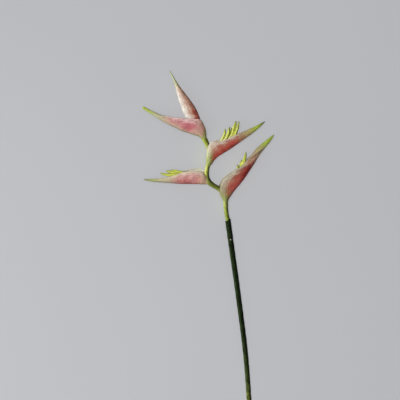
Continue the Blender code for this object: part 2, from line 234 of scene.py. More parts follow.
def line_at(table, at):
    """The smooth line through a table of points, read at these parts of its length."""
    table = np.asarray(table, float)
    knots = lengths(table[:, :3])
    return through(knots / knots[-1], table, at)


def smooth_step(low, high, value):
    """0 below low, 1 above high, and a smooth change between."""
    part = np.clip((np.asarray(value, float) - low) / (high - low), 0.0, 1.0)
    return part * part * (3 - 2 * part)


def ripple(at, seed, slow, fast, count=7):
    """An uneven wave of about one unit, between two numbers of turns over the length."""
    draw = np.random.default_rng(seed)
    turns = draw.uniform(slow, fast, count)
    phase = draw.uniform(0.0, 2 * math.pi, count)
    wave = np.sin(2 * math.pi * turns * np.asarray(at)[..., None] + phase).sum(-1)
    return wave / math.sqrt(count / 2)


def full_turn(columns):
    """The angle of each column of a grid that closes round a line."""
    return 2 * math.pi * np.arange(columns)[None, :] / columns


def row_of(first, columns, row=0):
    """The points of one row of a grid, from the number of the grid's first point."""
    return list(range(first + row * columns, first + (row + 1) * columns))


def round_frame(centres):
    """Two directions across a line at each of its points: sideways, and up."""
    along = np.gradient(centres, axis=0)
    along /= np.linalg.norm(along, axis=1)[:, None]
    side = np.cross(along, (0.0, 0.0, 1.0))
    side /= np.linalg.norm(side, axis=1)[:, None]
    return side, np.cross(side, along)


def tube_grid(centres, radii, turn):
    """A grid of points round a line. radii may change along it and round it."""
    side, up = round_frame(centres)
    turn = np.atleast_2d(turn)
    across = np.cos(turn)[..., None] * side[:, None, :]
    across = across + np.sin(turn)[..., None] * up[:, None, :]
    return centres[:, None, :] + across * np.broadcast_to(radii, across.shape[:2])[..., None]


def push(grid, amount):
    """Moves a grid of points along its own normals."""
    along = np.gradient(grid, axis=0)
    across = np.gradient(grid, axis=1)
    normal = np.cross(across, along)
    size = np.linalg.norm(normal, axis=2)[..., None]
    return grid + normal / np.maximum(size, 1e-9) * amount[..., None]


# What the finish of a round piece reads at each point, and that at the middle of its two ends
TUBE_MARKS = ("along", "around_x", "around_y", "edge", "pale")
AT_START = (0.0, 0.0, 0.0, 0.0, 0.0)
AT_END = (1.0, 0.0, 0.0, 0.0, 0.0)


def round_marks(along, turn, pale=0.0):
    """What the grid of a round piece carries, in the order of TUBE_MARKS. Only a cut face has edges."""
    return along, np.cos(turn), np.sin(turn), 0.0, pale


class Skin:
    """Points, faces and point values of one piece, gathered grid by grid."""

    def __init__(self):
        self.points = []
        self.faces = []
        self.marks = []
        self.finishes = []

    def face(self, corners, finish, turned):
        """One face, which turned makes look the other way."""
        self.faces.append(corners[::-1] if turned else corners)
        self.finishes.append(finish)

    def add(self, grid, marks, closed, finish=0, turned=False):
        """A grid of points as quads. marks are the values that its finish reads."""
        start = len(self.points)
        rows, columns = grid.shape[:2]
        self.points += grid.reshape(-1, 3).tolist()
        values = np.stack([np.broadcast_to(mark, (rows, columns)) for mark in marks], axis=-1)
        self.marks += values.reshape(-1, len(marks)).tolist()
        for row in range(rows - 1):
            for column in range(columns if closed else columns - 1):
                after = (column + 1) % columns
                a = start + row * columns + column
                b = start + row * columns + after
                self.face((a, b, b + columns, a + columns), finish, turned)
        return start

    def cap(self, ring, point, mark, finish=0, turned=False):
        """A fan from a closed ring of points to one more point."""
        self.points.append(list(map(float, point)))
        self.marks.append(list(mark))
        last = len(self.points) - 1
        for here, after in zip(ring, ring[1:] + ring[:1]):
            self.face((here, after, last), finish, turned)

    def tube(self, grid, marks, last_mark, last_point=None):
        """A grid that closes round a line, with a fan over each of its ends."""
        rows, columns = grid.shape[:2]
        first = self.add(grid, marks, True)
        self.cap(row_of(first, columns), grid[0].mean(0), AT_START, turned=True)
        point = grid[-1].mean(0) if last_point is None else last_point
        self.cap(row_of(first, columns, rows - 1), point, last_mark)

    def strip(self, here, there, turned=False):
        """Quads between two rows of points."""
        for corners in zip(here[:-1], here[1:], there[1:], there[:-1]):
            self.face(corners, 0, turned)

    def sheet(self, outer, inner, outer_marks, inner_marks):
        """Two grids back to back, joined along their sides and base. Returns their last rows."""
        first = self.add(outer, outer_marks, False)
        second = self.add(inner, inner_marks, False, turned=True)
        rows, columns = outer.shape[:2]
        low = [row * columns for row in range(rows)]
        high = [corner + columns - 1 for corner in low]
        for edge, turned in ((low, False), (high, True), (row_of(0, columns), True)):
            self.strip([first + corner for corner in edge], [second + corner for corner in edge], turned)
        return row_of(first, columns, rows - 1), row_of(second, columns, rows - 1)

    def piece(self, name, names, finishes):
        """The finished object, no lower than the surface that the stem lies on."""
        points = np.array(self.points)
        points[:, 2] = np.maximum(points[:, 2], 0.0)
        mesh = bpy.data.meshes.new(name)
        mesh.from_pydata((points * MM).tolist(), [], self.faces)
        marks = np.array(self.marks)
        for column, title in enumerate(names):
            layer = mesh.attributes.new(title, "FLOAT", "POINT")
            layer.data.foreach_set("value", marks[:, column].astype(np.float32))
        for finish in finishes:
            mesh.materials.append(finish)
        mesh.polygons.foreach_set("material_index", self.finishes)
        mesh.polygons.foreach_set("use_smooth", [True] * len(mesh.polygons))
        mesh.update()
        body = bpy.data.objects.new(name, mesh)
        bpy.context.scene.collection.objects.link(body)
        return body


def place(body, node):
    """Lets a piece stand for its node."""
    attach(body, "root")
    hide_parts(node)
    return body


# Rows along a bract, columns from its keel to each rim, and how far the rows crowd to both ends
BRACT_ROWS = 170
WALL_COLUMNS = 44
END_CROWDING = 0.09
# Wall at the rims and at the base, the base's gap from the rachis, and the part that hugs it
RIM_EDGE = 0.6
FUSED_EDGE = 0.4
FUSED_GAP = 0.08
COLLAR = 0.07
# How far from its end a bract rounds off
TIP_ROUND = 2.2
# Where across a wall its rim starts, and where along a bract its waved body grows out and dies away
RIM_FROM = 0.7
BODY_GROWS = (0.02, 0.2)
BODY_FADES = (0.66, 0.9)
RIBS = 9
RIB_HEIGHT = 0.09
RIDGE_HEIGHT = 0.3
RIDGE_WIDTH = 0.045
BRACT_MARKS = ("along", "across", "around", "inside")


def clear_of_rachis(grid, least_gap, pull):
    """Moves points out until they clear the rachis, and draws a base edge in to hug it."""
    rachis = line_at(RACHIS_LINE, np.linspace(0.0, 1.0, 500))
    points = grid.reshape(-1, 3)
    gaps = np.broadcast_to(least_gap, grid.shape[:2]).reshape(-1)
    pulls = np.broadcast_to(pull, grid.shape[:2]).reshape(-1)
    moved = points.copy()
    batch = 2000
    for start in range(0, len(points), batch):
        part = slice(start, start + batch)
        away = points[part, None, :] - rachis[None, :, :3]
        far = np.linalg.norm(away, axis=2)
        near = far.argmin(1)
        rows = np.arange(len(near))
        least = rachis[near, 3] + gaps[part]
        distance = far[rows, near]
        wanted = np.maximum(distance, least)
        wanted += (least - wanted) * pulls[part]
        reach = away[rows, near] / distance[:, None]
        moved[part] = rachis[near, :3] + reach * wanted[:, None]
    return moved.reshape(grid.shape)


def bract_course(table):
    """Where the rows of a bract lie, with the keel, the rim, the half width and the bluntness of each."""
    table = np.asarray(table, float)
    middle = (table[:, 0:2] + table[:, 2:4]) / 2
    knots = lengths(middle)
    at = np.linspace(0.0, 1.0, BRACT_ROWS)
    at = at - END_CROWDING * np.sin(2 * math.pi * at)
    rows = through(knots / knots[-1], table, at)
    end = np.clip((at - 1) * knots[-1] / TIP_ROUND + 1, 0.0, 1.0)
    blunt = np.sqrt(np.maximum(1 - end**2, 0.0004))[:, None]
    keel = np.column_stack([rows[:, 0:2], rows[:, 5]])
    rim = np.column_stack([rows[:, 2:4], rows[:, 5]])
    core = (keel + rim) / 2
    keel = core + (keel - core) * blunt
    rim = core + (rim - core) * blunt
    return at, keel, rim, rows[:, 4][:, None] * blunt, blunt


def rim_waves(at, turn, margin, body, seed, wave, dips):
    """How far the rims wave away from the keel, and out from the middle of the bract."""
    near = ripple(at, seed, 2.0, 9.0) * (turn > 0) + ripple(at, seed + 1, 2.0, 9.0) * (turn < 0)
    lift = wave * near * margin * body
    for middle_at, spread, fall, proud in dips:
        bend = np.exp(-(((at - middle_at) / spread) ** 2)) * margin
        lift = lift - bend * np.where(turn > 0, fall, -proud)
    out = 0.8 * wave * margin * body * (0.5 + 0.5 * ripple(at, seed + 2, 2.0, 8.0)) * np.sign(turn)
    return lift, out


def fine_relief(at, turn, depth, body):
    """How high the ribs along a bract's wall and the ridge on its keel stand."""
    across = np.abs(turn)
    ribs = np.cos(2 * math.pi * RIBS * across) * smooth_step(0.06, 0.2, across)
    ribs = ribs * (1 - smooth_step(0.85, 1.0, across)) * (0.35 + 0.65 * body)
    ridge = np.exp(-((turn / RIDGE_WIDTH) ** 2)) * smooth_step(0.04, 0.2, at)
    return RIB_HEIGHT * ribs * np.minimum(1.0, depth / 12) + RIDGE_HEIGHT * ridge


def bract_walls(table, fold, seed, wave, dips):
    """Outer and inner wall of a bract as grids, with what its finish reads of them."""
    at, keel, rim, width, blunt = bract_course(table)
    most = np.radians(through(FOLD_AT, fold, at))
    turn = np.linspace(-1.0, 1.0, 2 * WALL_COLUMNS + 1)[None, :]
    across = np.abs(turn)
    at = at[:, None]
    depth = np.linalg.norm(rim - keel, axis=1)[:, None]
    margin = smooth_step(RIM_FROM, 1.0, across)
    body = smooth_step(*BODY_GROWS, at) * (1 - smooth_step(*BODY_FADES, at))
    wall = FUSED_EDGE + (BRACT_WALL - FUSED_EDGE) * smooth_step(0.0, 0.1, at)
    wall = wall * (1 - margin) + np.minimum(wall, RIM_EDGE) * margin
    hollow = 1.0 - 0.98 * smooth_step(BEAK_FROM, BEAK_TO, at)
    floor = np.minimum(wall, 0.3 * depth) / depth
    inner_width = np.maximum(width - wall, 0.5 * width)
    rise = ((1 - np.cos(most * turn)) / (1 - np.cos(most))) ** KEEL_SHARPNESS
    inner_rise = 1 - hollow * (1 - (floor + (1 - floor) * rise))
    inner_across = hollow * np.sin(most * turn) + (1 - hollow) * np.sin(most) * turn
    lift, out = rim_waves(at, turn, margin, body, seed, wave, dips)
    chord = (rim - keel)[:, None, :]
    along_chord = chord / depth[..., None]
    up = np.array([0.0, 0.0, 1.0])

    def wall_grid(high, wide):
        """The wall at these heights up from the keel and widths out from the middle."""
        sheet = keel[:, None, :] + high[..., None] * chord + lift[..., None] * along_chord
        return sheet + (wide + out)[..., None] * up

    outer = wall_grid(rise, width * np.sin(most * turn))
    inner = wall_grid(inner_rise, inner_width * inner_across)
    dents = ripple(at + 0.2 * turn, seed + 3, 1.5, 5.0, 5) * ripple(turn * 0.5 + at, seed + 4, 0.5, 2.0, 4)
    dented = push(outer, (0.1 + 0.36 * wave) * body * dents * smooth_step(0.05, 0.3, across))
    inner = inner + (dented - outer)
    outer = push(dented, fine_relief(at, turn, depth, body) * blunt)
    pull = np.clip(1 - at / COLLAR, 0.0, 1.0) ** 1.5
    outer = clear_of_rachis(outer, FUSED_GAP + wall, pull)
    inner = clear_of_rachis(inner, FUSED_GAP, pull)
    return outer, inner, (at, across, turn)


def make_bract(node, table, fold, finish, seed, wave, dips):
    """A boat-shaped bract with thin waved rims, fine ribs, a raised keel and a solid beak.

    A dip is where along the rims it lies, its spread, how far the near rim falls in it, and how far
    the far rim stands up behind it.
    """
    outer, inner, marks = bract_walls(table, fold, seed, wave, dips)
    skin = Skin()
    outer_tip, inner_tip = skin.sheet(outer, inner, (*marks, 0.0), (*marks, 1.0))
    tip = (outer[-1].mean(0) + inner[-1].mean(0)) / 2
    skin.cap(outer_tip + inner_tip[::-1], tip, (1.0, 0.5, 0.0, 0.0))
    return place(skin.piece(node + "_fine", BRACT_MARKS, [finish]), node)


RACHIS_ROWS = 320
RACHIS_COLUMNS = 44
RACHIS_RIBS = 11
RACHIS_RIB_HEIGHT = 0.06
SWELLING = 0.07


def make_rachis(finish):
    """The peduncle and zigzag rachis, with fine ribs and uneven swellings."""
    at = np.linspace(0.0, 1.0, RACHIS_ROWS)
    table = line_at(RACHIS_LINE, at)
    turn = full_turn(RACHIS_COLUMNS)
    ribs = RACHIS_RIB_HEIGHT * np.cos(turn * RACHIS_RIBS)
    ribs = ribs + SWELLING * ripple(at[:, None] + 0.05 * np.cos(turn), 31, 6.0, 24.0)
    grid = tube_grid(table[:, :3], table[:, 3][:, None] + np.minimum(ribs, 0.1), turn)
    skin = Skin()
    skin.tube(grid, round_marks(at[:, None], turn), AT_END)
    return place(skin.piece("rachis_fine", TUBE_MARKS, [finish]), "rachis")


STALK_ROWS = 420
STALK_COLUMNS = 56
SOCKET_ROWS = 12
STALK_INSET = 0.25
# The free edge of the rolled sheath: how far it stands off, and its turn at the foot and at the top
SHEATH_STEP = 0.5
EDGE_AT_FOOT = 1.15
EDGE_AT_TOP = 2.05
SHEATH_RIBS = 22
SHEATH_RIB_HEIGHT = 0.06
SHEATH_UNEVEN = 0.09
# The part of the rachis's length that the socket holds, and how far under the mouth its wall starts
SOCKET_SPAN = (0.11, 0.02)
SOCKET_LIP = 0.25
SCAR_AT = (44.6, 37.0)
SCAR_SIZE = 1.7
SCAR_HEIGHT = 0.35
# The rings of the cut face, as shares of its radius, and how far it is sunk
CUT_RINGS = (1.0, 0.97, 0.9, 0.8, 0.66, 0.5, 0.33, 0.16)
CUT_SUNK = 0.35


def roll_sheath(at, centres, part):
    """The rolled leaf sheath as a grid, with the turn and the scar of each of its points."""
    radii = STALK_FOOT_RADIUS + (STALK_TOP_RADIUS - STALK_FOOT_RADIUS) * at - STALK_INSET
    edge = EDGE_AT_FOOT + (EDGE_AT_TOP - EDGE_AT_FOOT) * at + 0.12 * ripple(at, 41, 0.5, 3.0)
    turn = edge[:, None] + 2 * math.pi * part[None, :]
    roll = SHEATH_STEP * (1 - part[None, :]) ** 1.5 * smooth_step(0.0, 0.03, at)[:, None]
    ribs = SHEATH_RIB_HEIGHT * np.cos(2 * math.pi * part * SHEATH_RIBS)[None, :]
    ribs = ribs + SHEATH_UNEVEN * ripple(at[:, None] + 0.02 * np.cos(turn), 42, 3.0, 30.0)
    grid = tube_grid(centres, radii[:, None] + roll + ribs, turn)
    scar = np.hypot(grid[..., 0] - SCAR_AT[0], grid[..., 1] - SCAR_AT[1])
    scar = np.exp(-((scar / SCAR_SIZE) ** 2)) * (grid[..., 2] > centres[:, 2][:, None])
    return push(grid, SCAR_HEIGHT * scar), turn, scar


def socket_grid(mouth, turn, rise, along):
    """The socket that the peduncle stands in, from just under the sheath's mouth down to its floor."""
    rachis = line_at(RACHIS_LINE, np.linspace(*SOCKET_SPAN, SOCKET_ROWS))
    bore = tube_grid(rachis[::-1, :3], rachis[::-1, 3][:, None] + GAP, turn)[::-1]
    bore = bore + (np.linspace(1.0, 0.0, SOCKET_ROWS)[:, None] * (rise + 0.4))[..., None] * along
    shift = mouth.mean(0) - bore[0].mean(0)
    return bore + along * float(shift @ along) - SOCKET_LIP * along


def cut_face(ring, turn, share, along):
    """The face of the cut end, a little sunk and uneven."""
    sunk = CUT_SUNK * np.sin(share * math.pi) + 0.05 * ripple(share * 3 + turn / 6.3, 44, 2.0, 6.0)
    centre = ring.mean(0)
    return centre + (ring[None] - centre) * share[..., None] + sunk[..., None] * along


def make_stalk(sheath, cut):
    """The stalk: a rolled leaf sheath with one free edge, its mouth, and the cut end."""
    at = np.linspace(0.0, 1.0, STALK_ROWS)
    centres = line_at(STALK_LINE, at)
    along = centres[-1] - centres[-2]
    along /= np.linalg.norm(along)
    # The columns crowd at the sheath's free edge
    part = np.concatenate([[0.0, 0.006], np.linspace(0.03, 0.97, STALK_COLUMNS - 4), [0.99, 0.998]])
    grid, turn, scar = roll_sheath(at, centres, part)
    rise = MOUTH_RISE * np.cos(turn) + 0.25 * ripple(turn / 6.3, 43, 1.0, 5.0)
    grid = grid + (smooth_step(0.985, 1.0, at)[:, None] * rise)[..., None] * along
    bore = socket_grid(grid[-1], turn[-1], rise[-1], along)
    skin = Skin()
    skin.add(grid, round_marks(at[:, None], turn, scar), True)
    inside = skin.add(bore, round_marks(1.0, turn[-1]), True)
    top = row_of(0, STALK_COLUMNS, STALK_ROWS - 1)
    mouth = row_of(inside, STALK_COLUMNS)
    skin.strip(top + top[:1], mouth + mouth[:1])
    floor = row_of(inside, STALK_COLUMNS, SOCKET_ROWS - 1)
    skin.cap(floor, bore[-1].mean(0), AT_END)
    turn = turn[:1]
    share = np.array(CUT_RINGS)[:, None]
    face = cut_face(grid[0], turn, share, along)
    marks = (0.0, share * np.cos(turn), share * np.sin(turn), share, 0.0)
    first = skin.add(face, marks, True, finish=1, turned=True)
    inmost = row_of(first, STALK_COLUMNS, len(CUT_RINGS) - 1)
    skin.cap(inmost, grid[0].mean(0) + 0.1 * along, AT_START, finish=1, turned=True)
    return place(skin.piece("stalk_fine", TUBE_MARKS, [sheath, cut]), "stalk")


KNOB_ROWS = 18
FLORET_ROWS = 50
FLORET_COLUMNS = 24
FLORET_STALK_FROM = 0.08
TEPAL_ROWS = 30
TEPAL_COLUMNS = 11
TEPAL_THICKNESS = 0.3
TEPAL_GAP = 0.1
TEPAL_CREASE = 0.16
# A tepal runs between these parts of its floret, whose own tube is this much slimmer under it
TEPAL_FROM = 0.3
TEPAL_TO = 0.995
FLORET_INSET = 0.45


def add_tepal(skin, centres, radii, facing, peel):
    """One tepal: a thin blade that lies along the floret and leaves it at the tip."""
    part = np.linspace(0.0, 1.0, TEPAL_ROWS)
    place_at = TEPAL_FROM + (TEPAL_TO - TEPAL_FROM) * part
    source = np.linspace(0.0, 1.0, len(centres))
    line = np.stack([np.interp(place_at, source, centres[:, axis]) for axis in range(3)], axis=1)
    half = np.sqrt(np.clip(part / 0.15, 0.0, 1.0)) * (1 - 0.72 * part**5)
    across = np.linspace(-1.0, 1.0, TEPAL_COLUMNS)[None, :]
    turn = facing + half[:, None] * across
    off = TEPAL_GAP + peel * smooth_step(0.55, 1.0, part)
    crease = TEPAL_CREASE * np.exp(-((across / 0.25) ** 2))
    reach = (np.interp(place_at, source, radii) + off)[:, None] + crease
    outer = tube_grid(line, reach + TEPAL_THICKNESS, turn)
    inner = tube_grid(line, reach, turn)
    marks = round_marks(place_at[:, None], turn)
    skin.strip(*skin.sheet(outer, inner, marks, marks))


def add_receptacle(skin, centre, radius):
    """The lumpy knob that the florets of a group grow from."""
    polar = np.linspace(0.08, math.pi - 0.08, KNOB_ROWS)
    turn = full_turn(FLORET_COLUMNS)
    spine = centre + np.outer(-np.cos(polar) * radius, (0.0, 1.0, 0.0))
    lumps = 1 + 0.04 * (np.cos(5 * turn + 3 * polar[:, None]) - 1)
    knob = tube_grid(spine, (np.sin(polar) * radius)[:, None] * lumps, turn)
    skin.tube(knob, round_marks(0.0, turn), AT_START)


def add_floret(skin, centre, size, line, draw):
    """One floret: a three-sided tube on a thin stalk, with three tepals that part at its tip."""
    at = np.linspace(0.0, 1.0, FLORET_ROWS)
    turn = full_turn(FLORET_COLUMNS)
    root = centre + (np.array(line[0]) - centre) * FLORET_STALK_FROM
    centres = line_at((tuple(root), *line), at)
    radii = through(FLORET_AT, FLORET_RADIUS, at)[:, 0] * size
    radii = np.maximum(radii - FLORET_INSET * smooth_step(0.2, 0.4, at), 0.3)
    facing = draw.uniform(0.0, 2 * math.pi)
    lobes = 1 + 0.07 * smooth_step(0.2, 0.6, at)[:, None] * np.cos(3 * (turn - facing))
    lobes = lobes + 0.02 * np.cos(12 * turn)
    grid = tube_grid(centres, radii[:, None] * lobes, turn)
    tip = centres[-1] + 0.5 * (centres[-1] - centres[-2])
    skin.tube(grid, round_marks(at[:, None], turn), AT_END, tip)
    for number in range(3):
        peel = draw.uniform(0.0, 0.5) * size
        add_tepal(skin, centres, radii, facing + 2 * math.pi * number / 3, peel)


def make_florets(node, receptacle, florets, finish, seed):
    """A group of florets on thin pale stalks, joined at their receptacle."""
    skin = Skin()
    draw = np.random.default_rng(seed)
    centre = np.array(receptacle[:3])
    add_receptacle(skin, centre, receptacle[3])
    for size, line in florets:
        add_floret(skin, centre, size, line, draw)
    return place(skin.piece(node + "_fine", TUBE_MARKS, [finish]), node)


def shade(red, green, blue):
    """A colour given as a screen shows it, 0 to 255, as the shader's own numbers."""
    screen = np.array([red, green, blue]) / 255
    linear = np.where(screen <= 0.04045, screen / 12.92, ((screen + 0.055) / 1.055) ** 2.4)
    return (*linear.tolist(), 1.0)


def wire(tree, source, target):
    """Sets an input from a socket or a plain value."""
    if isinstance(source, bpy.types.NodeSocket):
        tree.links.new(source, target)
    else:
        target.default_value = source


def maths(tree, operation, *inputs):
    """One Math node."""
    step = tree.nodes.new("ShaderNodeMath")
    step.operation = operation
    for source, target in zip(inputs, step.inputs):
        wire(tree, source, target)
    return step.outputs[0]


def ease(tree, source, low, high):
    """0 below low, 1 above high, and smooth between."""
    step = tree.nodes.new("ShaderNodeMapRange")
    step.interpolation_type = "SMOOTHSTEP"
    for value, target in ((source, "Value"), (low, "From Min"), (high, "From Max")):
        wire(tree, value, step.inputs[target])
    return step.outputs["Result"]


def mix(tree, factor, first, second, kind="MIX"):
    """One colour blended over another."""
    step = tree.nodes.new("ShaderNodeMix")
    step.data_type = "RGBA"
    step.blend_type = kind
    wire(tree, factor, step.inputs[0])
    wire(tree, first, step.inputs[6])
    wire(tree, second, step.inputs[7])
    return step.outputs[2]


def noise(tree, where, scale, detail=3.0, roughness=0.55):
    """One noise texture, as a value round a half."""
    step = tree.nodes.new("ShaderNodeTexNoise")
    wire(tree, where, step.inputs["Vector"])
    wire(tree, scale, step.inputs["Scale"])
    step.inputs["Detail"].default_value = detail
    step.inputs["Roughness"].default_value = roughness
    return step.outputs[0]


def vector(tree, x, y, z):
    """Three values as one vector."""
    step = tree.nodes.new("ShaderNodeCombineXYZ")
    for value, target in zip((x, y, z), step.inputs):
        wire(tree, value, target)
    return step.outputs[0]


def mark(tree, title):
    """A value that the mesh carries."""
    step = tree.nodes.new("ShaderNodeAttribute")
    step.attribute_name = title
    return step.outputs["Fac"]


def toned(tree, colour, tone):
    """A colour made lighter or darker by a value round 1."""
    grey = tree.nodes.new("ShaderNodeCombineColor")
    for target in grey.inputs:
        wire(tree, tone, target)
    return mix(tree, 1.0, colour, grey.outputs[0], "MULTIPLY")


def new_group(name, inputs, outputs):
    """An empty shader node group. Each socket is of the kind that its start value has."""
    group = bpy.data.node_groups.new(name, "ShaderNodeTree")
    kinds = {1: "NodeSocketFloat", 3: "NodeSocketVector", 4: "NodeSocketColor"}
    for side, sockets in (("INPUT", inputs), ("OUTPUT", outputs)):
        for title, start in sockets.items():
            socket = group.interface.new_socket(title, in_out=side, socket_type=kinds[np.size(start)])
            socket.default_value = start
    entry = group.nodes.new("NodeGroupInput")
    leave = group.nodes.new("NodeGroupOutput")
    return group, entry.outputs, leave.inputs


def use_group(tree, group, inputs):
    """A group placed in a material, with its own values."""
    step = tree.nodes.new("ShaderNodeGroup")
    step.node_tree = group
    for title, source in inputs.items():
        wire(tree, source, step.inputs[title])
    return step.outputs


def new_finish(name, roughness, gloss=0.3):
    """A material with its Principled shader."""
    material = bpy.data.materials.new(name)
    material.use_nodes = True
    shader = material.node_tree.nodes["Principled BSDF"]
    shader.inputs["Roughness"].default_value = roughness
    shader.inputs["Specular IOR Level"].default_value = gloss
    return material, material.node_tree, shader


def relief(tree, shader, height, strength, distance):
    """Fine relief that is too small to model, with its depth in millimetres."""
    bump = tree.nodes.new("ShaderNodeBump")
    bump.inputs["Strength"].default_value = strength
    bump.inputs["Distance"].default_value = distance * MM
    wire(tree, height, bump.inputs["Height"])
    wire(tree, bump.outputs[0], shader.inputs["Normal"])


# How plant_fibres makes a skin lighter and darker
FIBRE_MASKS = ("Fibre", "Blotch", "Vein", "Mottle")


def build_fibres():
    """Plant fibres that run along a surface, with soft blotches and speckles between them."""
    group, given, result = new_group(
        "plant_fibres",
        {"Across": (0.0, 0.0, 0.0), "Along": 0.0, "Fibres": 12.0, "Blotches": 4.0},
        dict.fromkeys((*FIBRE_MASKS, "Speckle"), 0.0),
    )
    split = group.nodes.new("ShaderNodeSeparateXYZ")
    wire(group, given["Across"], split.inputs[0])
    slow = maths(group, "MULTIPLY", given["Along"], 0.2)
    drawn = vector(group, split.outputs[0], split.outputs[1], slow)
    full = vector(group, split.outputs[0], split.outputs[1], given["Along"])
    streak = maths(group, "MULTIPLY", given["Along"], 0.6)
    stretched = vector(group, split.outputs[0], split.outputs[1], streak)
    coarse = noise(group, stretched, given["Fibres"], 3.0, 0.6)
    wire(group, ease(group, coarse, 0.28, 0.72), result["Fibre"])
    cloudy = noise(group, full, given["Blotches"], 3.0, 0.5)
    wire(group, ease(group, cloudy, 0.28, 0.72), result["Blotch"])
    fine = maths(group, "MULTIPLY", given["Fibres"], 7.0)
    wire(group, noise(group, full, fine, 2.0, 0.6), result["Speckle"])
    many = maths(group, "MULTIPLY", given["Fibres"], 5.0)
    wire(group, noise(group, drawn, many, 1.0, 0.5), result["Vein"])
    where = group.nodes.new("ShaderNodeTexCoord").outputs["Object"]
    wire(group, ease(group, noise(group, where, 330.0, 2.0, 0.6), 0.3, 0.7), result["Mottle"])
    return group


# The colours of each bract as a screen shows them, in the order in which bract_bloom lays them on
PALETTE_1 = dict(
    Keel=(200, 76, 60), Flank=(222, 108, 98), Wall=(178, 92, 72), Flush=(176, 54, 42),
    Rim=(174, 164, 142), Shoulder=(146, 138, 98), Throat=(188, 164, 130), Tip=(174, 190, 80),
    Base=(150, 158, 88), End=(162, 180, 68), Ridge=(168, 46, 36), Inner=(192, 182, 148),
)
PALETTE_2 = dict(
    Keel=(184, 116, 104), Flank=(210, 142, 138), Wall=(202, 148, 142), Flush=(184, 104, 98),
    Rim=(204, 186, 164), Shoulder=(206, 190, 168), Throat=(190, 178, 146), Tip=(162, 168, 106),
    Base=(184, 156, 122), End=(136, 142, 92), Ridge=(140, 56, 46), Inner=(194, 192, 172),
)
PALETTE_3 = dict(
    Keel=(188, 70, 54), Flank=(196, 86, 72), Wall=(172, 106, 86), Flush=(204, 88, 80),
    Rim=(194, 178, 160), Shoulder=(188, 192, 138), Throat=(190, 168, 120), Tip=(178, 194, 64),
    Base=(164, 174, 88), End=(92, 110, 26), Ridge=(150, 42, 32), Inner=(216, 210, 184),
)
PALETTE_4 = dict(
    Keel=(176, 156, 128), Flank=(194, 156, 140), Wall=(184, 122, 121), Flush=(184, 102, 108),
    Rim=(212, 174, 170), Shoulder=(158, 118, 92), Throat=(172, 168, 134), Tip=(158, 168, 78),
    Base=(138, 146, 76), End=(158, 172, 48), Ridge=(120, 104, 66), Inner=(206, 188, 166),
)
PALETTE_5 = dict(
    Keel=(182, 106, 84), Flank=(214, 160, 134), Wall=(200, 168, 150), Flush=(176, 88, 74),
    Rim=(206, 198, 186), Shoulder=(206, 160, 148), Throat=(198, 178, 146), Tip=(198, 206, 156),
    Base=(178, 118, 106), End=(176, 184, 132), Ridge=(124, 48, 34), Inner=(206, 198, 180),
)
# Where these colours start, end or lie along and across a bract, how uneven their borders are, and
# how much painted light lifts the keel side towards the tip, where it faces away from the lamps
BRACT_PLACES = {
    "Base End": (0.12, 0.14, 0.14, 0.11, 0.2),
    "Shoulder End": (0.27, 0.3, 0.26, 0.34, 0.24),
    "Shoulder Start": (0.46, 0.6, 0.24, 0.48, 0.45),
    "Throat Start": (0.47, 0.41, 0.5, 0.51, 0.6),
    "Tip Start": (0.7, 0.7, 0.7, 0.75, 0.69),
    "Rim Start": (0.48, 0.58, 0.5, 0.56, 0.46),
    "Flush Along": (0.42, 0.34, 0.51, 0.3, 0.24),
    "Flush Across": (0.14, 0.22, 0.36, 0.5, 0.18),
    "Flush Size": (0.18, 0.1, 0.14, 0.14, 0.21),
    "Streaks": (0.18, 0.18, 0.2, 0.18, 0.16),
    "Keel Light": (0.9, 0.1, 0.8, 0.15, 0.9),
}
# How wide the soft border is that a zone of a bract starts with, and how far the flush spreads across
BORDERS = {"Rim": 0.38, "Shoulder": 0.45, "Throat": 0.24, "Tip": 0.16}
FLUSH_SPREAD = 0.42
# What bract_bloom reads of the mesh, and how much each of the fibres' masks changes its tone
MESH_MASKS = ("Along", "Across", "Inside")
TONE_SHARES = {"Fibre": 0.24, "Blotch": 0.14, "Mottle": 0.26, "Vein": 0.4}


